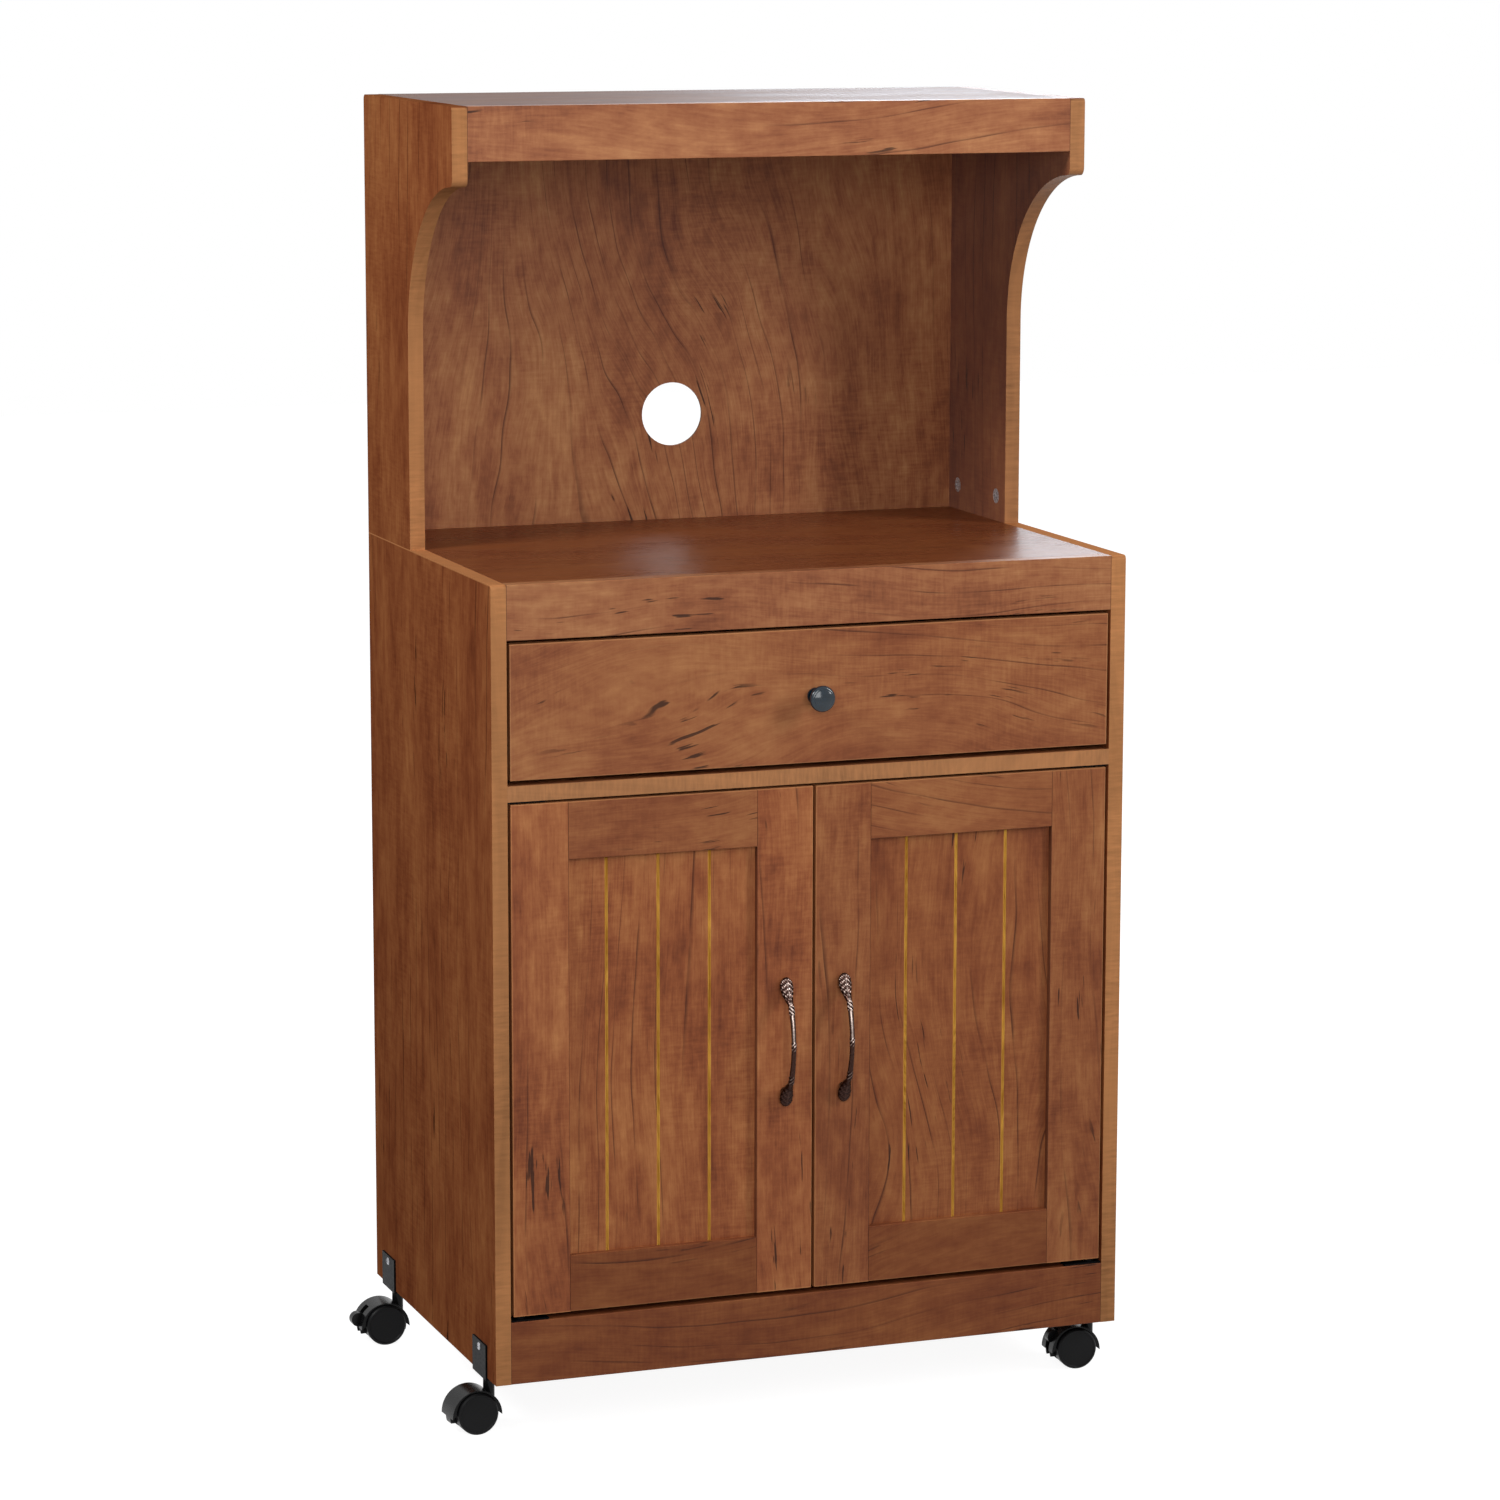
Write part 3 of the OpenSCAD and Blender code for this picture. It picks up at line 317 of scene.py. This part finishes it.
        # the bare board's colour, brightened as painted light where the narrow grooves lie in shade
        raw_lit = t.ramp(fibres, [(0.3, lin(*RAW_LIT_DARK)), (0.7, lin(*RAW_LIT_LIGHT))])
        colour = t.mix(inside, colour, raw_lit)
    t.link(colour, t.bsdf.inputs["Base Color"])
    t.link(t.span(t.math("ADD", fibres, patches), 0.7, 1.3, rough - 0.05, rough + 0.07),
           t.bsdf.inputs["Roughness"])
    t.bsdf.inputs["Specular IOR Level"].default_value = gloss
    t.bsdf.inputs["Sheen Weight"].default_value = haze
    grain = t.math("MULTIPLY_ADD", arches, -0.8, t.math("MULTIPLY", fibres, 0.6))
    t.link(t.bump(grain, 0.16, 0.0004), t.bsdf.inputs["Normal"])
    return t.mat


def board_core(name, colour):
    """raw wood or board: short fibres in two tones"""
    t = Material(name)
    n = t.noise(t.mapped((300, 300, 60)), detail=4, rough=0.7)
    t.link(t.ramp(n, [(0.3, shade(colour, 0.8)), (0.7, shade(colour, 1.1))]),
           t.bsdf.inputs["Base Color"])
    t.bsdf.inputs["Roughness"].default_value = 0.8
    t.link(t.bump(n, 0.3, 0.0005), t.bsdf.inputs["Normal"])
    return t.mat


SKIN_DEPTH = 0.0002  # of the bumps in metal and plastic, in metres


def metal(name, colour, rough, dark=0.7, scale=400.0, metallic=1.0, gloss=0.5):
    """bare or painted metal with a fine mottle; dark is the tone of its darker spots"""
    t = Material(name)
    n = t.noise(t.mapped((scale, scale, scale)), detail=4, rough=0.6)
    t.link(t.ramp(n, [(0.35, shade(colour, dark)), (0.65, shade(colour, 1.0))]),
           t.bsdf.inputs["Base Color"])
    t.link(t.span(n, 0.3, 0.7, rough * 0.8, rough * 1.25), t.bsdf.inputs["Roughness"])
    t.bsdf.inputs["Metallic"].default_value = metallic
    t.bsdf.inputs["Specular IOR Level"].default_value = gloss
    t.link(t.bump(n, 0.1, SKIN_DEPTH), t.bsdf.inputs["Normal"])
    return t.mat


def plastic(name, colour, rough, coat=0.0, bump=0.15, gloss=0.5):
    """moulded plastic: a fine grain over broad, faint differences in tone"""
    t = Material(name)
    n = t.noise(t.mapped((900.0, 900.0, 900.0)), detail=3, rough=0.6)
    big = t.noise(t.mapped((40, 40, 40)), detail=2)
    mixed = t.summed(n, (t.math("SUBTRACT", big, 0.5), 0.6))
    t.link(t.ramp(mixed, [(0.3, shade(colour, 0.8)), (0.7, shade(colour, 1.2))]),
           t.bsdf.inputs["Base Color"])
    t.link(t.span(mixed, 0.3, 0.7, rough - 0.04, rough + 0.06), t.bsdf.inputs["Roughness"])
    t.bsdf.inputs["Specular IOR Level"].default_value = gloss
    t.bsdf.inputs["Coat Weight"].default_value = coat
    t.bsdf.inputs["Coat Roughness"].default_value = 0.12
    t.link(t.bump(n, bump, SKIN_DEPTH), t.bsdf.inputs["Normal"])
    return t.mat


def dress(mat, *names):
    """gives the named CAD nodes one material"""
    for n in names:
        o = NODES[n]
        o.data.materials.clear()
        o.data.materials.append(mat)


def ends(node):
    """the two places along x where a node's ends meet their neighbours"""
    lo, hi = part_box(node)
    return [("x", lo[0]), ("x", hi[0])]


def side_wood(name, seed, **kw):
    """a side panel: upright grain, with banding on its edges"""
    return wood(name, "z", seed, warm=0.03, contrast=0.95, edge=TAN, edge_axis="x", swirl=0.35,
                **kw)


base_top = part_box("base_left_side")[1][2]
dress(side_wood("laminate_base_left", 11, k=1.03, gloss=0.0, crest=base_top), "base_left_side")
dress(side_wood("laminate_base_right", 12, k=1.03, gloss=0.0, crest=base_top), "base_right_side")
dress(side_wood("laminate_hutch_left", 13, k=1.03, gloss=0.0), "hutch_left_side")
dress(side_wood("laminate_hutch_right", 14, k=0.95, gloss=0.05, haze=0.12), "hutch_right_side")
dress(wood("laminate_worktop", "x", 15, k=0.79, warm=0.11, swirl=0.5, contrast=0.7, rough=0.28,
           gloss=0.06), "worktop")
# the rails' tones rise with their height: partly their print, partly painted light falling from
# above
dress(wood("laminate_front_rail", "x", 16, k=1.20, warm=-0.07, swirl=0.5, seams_and_shade=ends("front_rail")),
      "front_rail")
dress(wood("laminate_divider", "x", 17, edge=TAN, edge_axis="z"), "divider_shelf")
dress(wood("laminate_floor", "x", 18), "cabinet_floor")
# the toe rail's darker tone is partly painted shade low down
dress(wood("laminate_toe_rail", "x", 19, k=0.86, warm=0.05, swirl=0.6, seams_and_shade=ends("toe_rail")),
      "toe_rail")
dress(wood("laminate_shelf", "x", 20, edge=TAN, edge_axis="z"), "adjustable_shelf")
dress(wood("laminate_hutch_top", "x", 21, k=0.78, swirl=0.5, gloss=0.02, haze=0.05), "hutch_top")
# the hutch rail's bright tone is partly painted light from above
dress(wood("laminate_hutch_rail", "x", 22, k=1.30, warm=-0.08, swirl=0.5, seams_and_shade=ends("hutch_rail")),
      "hutch_rail")
dress(wood("laminate_hutch_back", "z", 23, k=1.10, warm=-0.05, swirl=0.9, contrast=1.3),
      "hutch_back")
dress(wood("laminate_base_back", "z", 24), "base_back")
# the drawer front's pale outline line is partly a painted highlight
dress(wood("laminate_drawer_front", "x", 25, k=1.06, warm=-0.02, swirl=0.9, rim="drawer_front"),
      "drawer_front")
dress(wood("laminate_drawer_box", "y", 26, k=0.95, lines=0.5), "drawer_sides", "drawer_back")
dress(wood("laminate_drawer_bottom", "x", 27, k=0.95, lines=0.5), "drawer_bottom")
panel_face = at(0, 6, 0)[1]
# each door's first seed, its stiles' tone and its panel's look; the right door's darker tones are
# painted shade, where the light falls off towards the right
DOORS = [
    ("left", 28, 1.11, {"k": 1.05, "warm": 0.02, "contrast": 1.3, "swirl": 0.45}),
    ("right", 38, 1.01, {"k": 0.96, "warm": 0.03, "contrast": 1.2, "swirl": 1.0}),
]
for door, seed, stile_k, look in DOORS:
    lo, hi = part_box(door + "_door_rails")
    middle = (lo[2] + hi[2]) / 2
    outline = door + "_door_stiles"
    # on the stiles the dark lines at the rails' ends fill the recess's inner walls: painted shade
    # there, a joint line on the face
    dress(wood("laminate_" + outline, "z", seed, k=stile_k, swirl=0.4, contrast=1.2, rim=outline,
               seams_and_shade=ends(door + "_door_rails")), outline)
    # below the rails' middle the bottom rail is painted darker, as shade
    dress(wood(f"laminate_{door}_door_rails", "x", seed + 1, k=1.0, swirl=0.6, rim=outline,
               lower=(middle, 0.72)), door + "_door_rails")
    dress(wood(f"laminate_{door}_door_panel", "z", seed + 2, groove=panel_face, **look),
          door + "_door_panel")
dress(board_core("beech_dowel", (205, 170, 120)), "dowels")

zinc = metal("zinc_steel", (190, 190, 195), 0.34)
dress(metal("bright_zinc", (242, 244, 250), 0.3, dark=0.4, scale=420.0, metallic=0.5),
      "cam_locks")
dress(zinc, "shelf_pins", "cam_bolts", "bracket_screws",
      "caster_stems", "knob_screw", "left_pull_screws", "right_pull_screws",
      "front_left_axle", "front_right_axle", "rear_left_axle", "rear_right_axle")
dress(metal("white_coated_steel", (222, 220, 212), 0.4, dark=0.93, metallic=0.0),
      "slide_channels", "drawer_runners")
dress(plastic("white_nylon", (228, 226, 220), 0.45), "slide_front_rollers", "slide_rear_rollers")
dress(plastic("knob_blue_black", (10, 30, 42), 0.16, coat=0.3, bump=0.02, gloss=0.35),
      "drawer_knob")
dress(metal("black_bracket_steel", (16, 16, 18), 0.4, metallic=0.0, gloss=0.03),
      "caster_brackets", "door_pivot_plates")
hood_plastic = plastic("black_nylon_hood", (15, 15, 16), 0.26, gloss=0.14)
wheel_plastic = plastic("black_nylon_wheel", (18, 18, 19), 0.36, gloss=0.12)
for n in NODES:
    if n.endswith(("_hood", "_lever")):
        dress(hood_plastic, n)
    if "_wheel_" in n:
        dress(wheel_plastic, n)


def relief_metal():
    """antique bronze: near black in the hollows, rubbed bright where the casting stands proud"""
    t = Material("antique_bronze")
    n = t.noise(t.mapped((500, 500, 500)), detail=3, rough=0.6)
    # the relief attribute holds the rubbed patina and painted light: upper parts brighter, lower
    # parts darker, a highlight streak on the upper bar
    wear_and_light = t.nt.nodes.new("ShaderNodeAttribute")
    wear_and_light.attribute_name = "relief"
    height = t.summed(wear_and_light.outputs["Fac"], (t.math("SUBTRACT", n, 0.5), 0.35))
    t.link(t.ramp(height, [
        (0.18, lin(20, 13, 12)),
        (0.46, lin(56, 38, 33)),
        (0.62, lin(78, 60, 54)),
        (0.86, lin(176, 160, 152)),
    ]), t.bsdf.inputs["Base Color"])
    t.link(t.span(n, 0.3, 0.7, 0.24, 0.36), t.bsdf.inputs["Roughness"])
    t.bsdf.inputs["Metallic"].default_value = 1.0
    return t.mat


# ---------------------------------------------------------------- door pulls

# profile of half a pull from its tip to the bar: height over its middle, distance of the axis from
# the door, half width, half thickness, all in millimetres
BUD = [
    (62.70, 3.6, 0.30, 0.25), (62.3, 3.6, 1.90, 1.35), (61.2, 3.7, 3.40, 2.35),
    (59.0, 4.0, 5.10, 3.3), (56.0, 4.5, 6.30, 3.9), (52.5, 5.5, 6.50, 4.2),
    (49.0, 6.9, 6.00, 4.3), (45.5, 9.0, 5.00, 4.0), (42.2, 12.2, 3.90, 3.4),
    (39.8, 15.0, 3.10, 3.0), (38.0, 16.9, 2.75, 2.75),
]
# the bar: distance of its axis from the door at the middle, its radius, and the height and
# distance of its two necks
BAR_Y, BAR_R, NECK_Z, NECK_Y = 25.3, 2.7, 38.0, 16.9
BOW_R = (NECK_Z ** 2 + (BAR_Y - NECK_Y) ** 2) / (2 * (BAR_Y - NECK_Y))
BUD_STEP = 0.42  # between two stations of a bud
BAR_STEPS = 170  # stations along the bar
AROUND = 36  # points round each station

# the twisted bands: lowest and highest point, and hand of the twist
BANDS = [(-37.5, -28.5, -1), (-4.5, 4.5, -1), (29.0, 37.5, 1)]
BAND_STRANDS, BAND_PITCH, BAND_RISE, BAND_FADE = 4, 3.8, 0.42, 0.8
# the buds' relief: spacing of the leaf's ribs and of the cross ribs, their slant, its rise
LEAF_PITCH, LEAF_SLANT, CROSS_PITCH, CROSS_SLANT, LEAF_RISE = 3.1, 1.25, 5.2, 0.9, 0.36
VEIN_W, VEIN_MARGIN = 0.55, 0.9

# the feet round the screws
SCREW_Z, FOOT_R, FOOT_L, FOOT_AROUND = 48, 3.6, 5.5, 24
DOOR_GAP = 0.15  # least distance of the casting's surface from the door


def smooth(x, lo, hi):
    """0 up to lo, 1 from hi on, and an even curve between them"""
    x = max(0.0, min(1.0, (x - lo) / (hi - lo)))
    return x * x * (3 - 2 * x)


def bud_section(z):
    """axis distance and half sizes of a bud at a height"""
    for (z0, *a), (z1, *b) in zip(BUD, BUD[1:]):
        if z1 <= z <= z0:
            f = (z0 - z) / (z0 - z1)
            return [p + (q - p) * f for p, q in zip(a, b)]


def bar_section(z):
    """axis distance and half sizes of the bar at a height; it is a little thinner in the middle"""
    y = BAR_Y - BOW_R + math.sqrt(BOW_R ** 2 - z * z)
    r = BAR_R * (0.84 + 0.16 * smooth(abs(z), 12, 36))
    return [y, r, r]


def pull_sections():
    """stations along a pull from the upper tip down: height, axis distance, half sizes"""
    zs = []
    for (z0, *_), (z1, *_) in zip(BUD, BUD[1:]):
        steps = max(1, round((z0 - z1) / BUD_STEP))
        zs += [z0 + (z1 - z0) * i / steps for i in range(steps)]
    upper = [(z, *bud_section(z)) for z in zs]
    middle = [(z, *bar_section(z)) for z in
              (NECK_Z - 2 * NECK_Z * i / BAR_STEPS for i in range(BAR_STEPS + 1))]
    return upper + middle + [(-z, *rest) for z, *rest in reversed(upper)]


def pull_relief(z, angle, half_w):
    """(rise of the surface in millimetres, brightness of the rubbed patina and of painted light) at
    a height and an angle from the side that faces away from the door"""
    rise, wear_and_light = 0.0, 0.50
    for lo, hi, hand in BANDS:
        inside = smooth(z, lo, lo + BAND_FADE) * smooth(-z, -hi, -hi + BAND_FADE)
        if inside:
            wave = math.cos(BAND_STRANDS * angle + hand * 2 * math.pi * z / BAND_PITCH)
            rise += inside * BAND_RISE * wave
            # the top band is made brighter than the others: painted light from above
            wear_and_light += inside * (0.40 if z > 20 else 0.24) * wave
    if abs(z) > NECK_Z + 1:
        front = smooth(math.cos(angle), -0.15, 0.35)
        end = smooth(62.5 - abs(z), 0.4, 2.2) * smooth(abs(z), NECK_Z + 1, NECK_Z + 4)
        side = abs(math.sin(angle)) * half_w
        vein = math.exp(-(side / VEIN_W) ** 2)
        leaf = math.cos(2 * math.pi * (abs(z) - side * LEAF_SLANT) / LEAF_PITCH)
        leaf = math.copysign(abs(leaf) ** 0.7, leaf) * (1 - math.exp(-(side / VEIN_MARGIN) ** 2))
        cross = math.cos(2 * math.pi * (abs(z) + side * CROSS_SLANT) / CROSS_PITCH) * 0.6
        relief = front * end * (0.6 * leaf + cross * (1 - vein) + 0.8 * vein)
        rise += LEAF_RISE * relief
        # the upper bud is brighter and the lower bud darker: painted light from above
        wear_and_light += 0.34 * relief * (1.0 if z > 0 else 0.40) - (0.12 if z < 0 else 0.0)
    # a painted highlight streak down the upper bar, and the lower bar painted darker as shade
    elif z > 0:
        wear_and_light += 0.30 * math.exp(-((angle - 2 * math.pi * (angle > math.pi) + 0.25) / 0.5) ** 2)
    else:
        wear_and_light -= 0.06
    return rise, wear_and_light


def pull_casting(name, node, mat):
    """one cast pull: a bowed bar with twisted bands between two leaf buds, on two feet"""
    lo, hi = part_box(node)
    centre_x, centre_z = (lo[0] + hi[0]) / 2, (lo[2] + hi[2]) / 2
    door_y = at(0, 0, 0)[1]
    sections = pull_sections()
    verts, wear_and_light_values, faces = [], [], []
    for i, (z, y, w, h) in enumerate(sections):
        z0, y0 = sections[max(0, i - 1)][:2]
        z1, y1 = sections[min(len(sections) - 1, i + 1)][:2]
        run = math.hypot(z1 - z0, y1 - y0)
        ny, nz = -(z1 - z0) / run, (y1 - y0) / run  # away from the door, across the path
        for j in range(AROUND):
            angle = 2 * math.pi * j / AROUND
            rise, wear_and_light = pull_relief(z, angle, w)
            grow = 1 if w > 1.5 else w / 1.5
            u = math.sin(angle) * (w + rise * grow)
            v = math.cos(angle) * (h + rise * grow)
            out = max(DOOR_GAP, y + v * ny)
            verts.append((centre_x + u / 1000, door_y - out / 1000,
                          centre_z + (z + v * nz) / 1000))
            wear_and_light_values.append(wear_and_light)
    rows = len(sections)
    for i in range(rows - 1):
        row, below = i * AROUND, (i + 1) * AROUND
        for j in range(AROUND):
            k = (j + 1) % AROUND
            faces.append((row + k, row + j, below + j, below + k))
    faces.append(tuple(range(AROUND)))
    faces.append(tuple((rows - 1) * AROUND + j for j in reversed(range(AROUND))))
    for sign in (1, -1):
        base = len(verts)
        end = base + FOOT_AROUND
        for y in (0.0, FOOT_L):
            for j in range(FOOT_AROUND):
                a = 2 * math.pi * j / FOOT_AROUND
                verts.append((centre_x + FOOT_R * math.sin(a) / 1000, door_y - y / 1000,
                              centre_z + (sign * SCREW_Z + FOOT_R * math.cos(a)) / 1000))
                wear_and_light_values.append(0.4)
        for j in range(FOOT_AROUND):
            k = (j + 1) % FOOT_AROUND
            faces.append((base + k, base + j, end + j, end + k))
        faces.append(tuple(base + j for j in range(FOOT_AROUND)))
        faces.append(tuple(end + j for j in reversed(range(FOOT_AROUND))))
    me = bpy.data.meshes.new(name)
    me.from_pydata(verts, [], faces)
    me.validate()
    wear_and_light_attribute = me.attributes.new("relief", "FLOAT", "POINT")
    wear_and_light_attribute.data.foreach_set("value", wear_and_light_values)
    me.materials.append(mat)
    me.shade_smooth()
    o = bpy.data.objects.new(name, me)
    scene.collection.objects.link(o)
    return o


bronze = relief_metal()
for side in ("left", "right"):
    casting = pull_casting(side + "_pull_casting", side + "_pull", bronze)
    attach(casting, side + "_door")
    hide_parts(side + "_pull")

# ---------------------------------------------------------------- stage, light and camera


def quad(name, corners, mat):
    """a flat piece of the stage"""
    me = bpy.data.meshes.new(name)
    me.from_pydata(corners, [], [tuple(range(len(corners)))])
    o = bpy.data.objects.new(name, me)
    scene.collection.objects.link(o)
    me.materials.append(mat)


def floor_material():
    """a floor that shows as white, a little less near the cart, but lights no matt surface"""
    t = Material("floor_white")
    n = t.noise(t.mapped((6, 6, 6)), detail=3)
    t.link(t.ramp(n, [(0.3, (0.21, 0.21, 0.21)), (0.7, (0.23, 0.23, 0.23))]),
           t.bsdf.inputs["Base Color"])
    t.bsdf.inputs["Roughness"].default_value = 0.9
    t.bsdf.inputs["Emission Color"].default_value = (1, 1, 1, 1)
    x, y, _ = t.xyz(t.tc.outputs["Object"])
    away = t.math("SQRT", t.math("ADD", t.math("MULTIPLY", x, x), t.math("MULTIPLY", y, y)))
    glow = t.span(away, 0.6, 2.2, 0.92, 1.0, smooth=True)
    t.link(t.math("MULTIPLY", t.seen_rays(), glow), t.bsdf.inputs["Emission Strength"])
    return t.mat


quad("floor", [(-9, -8, 0), (9, -8, 0), (9, 9, 0), (-9, 9, 0)], floor_material())


def white_sky(world, lit, seen):
    """an even white world: lit is its strength as a light, seen its strength where it shows"""
    t = Tree(world)
    out = t.nt.nodes.new("ShaderNodeOutputWorld")
    mix = t.nt.nodes.new("ShaderNodeMixShader")
    t.link(t.seen_rays(), mix.inputs[0])
    for i, strength in enumerate((lit, seen)):
        sky = t.nt.nodes.new("ShaderNodeBackground")
        sky.inputs[0].default_value = (1, 1, 1, 1)
        sky.inputs[1].default_value = strength
        t.link(sky.outputs[0], mix.inputs[1 + i])
    t.link(mix.outputs[0], out.inputs[0])


scene.world = bpy.data.worlds.new("studio")
white_sky(scene.world, 0.03, 1.0)


def area(name, place, aim, size, power, colour=(1, 1, 1)):
    """a rectangular lamp of so many watts, from a place towards its aim"""
    d = bpy.data.lights.new(name, "AREA")
    d.shape = "RECTANGLE"
    d.size, d.size_y = size
    d.energy = power
    d.color = colour
    o = bpy.data.objects.new(name, d)
    scene.collection.objects.link(o)
    o.location = place
    o.rotation_euler = (Vector(aim) - Vector(place)).to_track_quat("-Z", "Y").to_euler()


area("key", (1.8, -1.4, 1.75), (0.1, 0, 1.0), (0.5, 1.2), 30)
area("fill_front", (-0.5, -2.3, 1.3), (0, 0, 1.0), (1.3, 1.1), 26)
area("fill_left", (-2.3, -0.6, 2.3), (-0.3, 0, 1.1), (0.8, 0.8), 42)
area("rim_back", (1.5, 2.4, 2.2), (0, 0, 0.8), (1.2, 1.2), 48, (0.85, 0.92, 1.0))

# the camera that matches the photograph best without a shift
PHOTO_W = 1500  # pixels
FOCAL = 4908.1  # pixels
SENSOR_W = 36  # millimetres
cam_data = bpy.data.cameras.new("photo_camera")
cam_data.sensor_width = SENSOR_W
cam_data.sensor_fit = "HORIZONTAL"
cam_data.lens = FOCAL / PHOTO_W * SENSOR_W
cam_data.clip_end = 60
cam = bpy.data.objects.new("photo_camera", cam_data)
scene.collection.objects.link(cam)
yaw, pitch, roll = math.radians(20.207), math.radians(9.917), math.radians(-0.108)
forward = Vector((math.sin(yaw) * math.cos(pitch), math.cos(yaw) * math.cos(pitch),
                  -math.sin(pitch)))
right = forward.cross(Vector((0, 0, 1))).normalized()
up = right.cross(forward)
turn = Matrix.Rotation(roll, 3, forward)
right, up = turn @ right, turn @ up
cam.matrix_world = Matrix((
    (right[0], up[0], -forward[0], 0),
    (right[1], up[1], -forward[1], 0),
    (right[2], up[2], -forward[2], 0),
    (0, 0, 0, 1)))
cam.location = at(-1308.5, -4241.2, 1436.5)
scene.camera = cam
scene.view_settings.view_transform = "Standard"
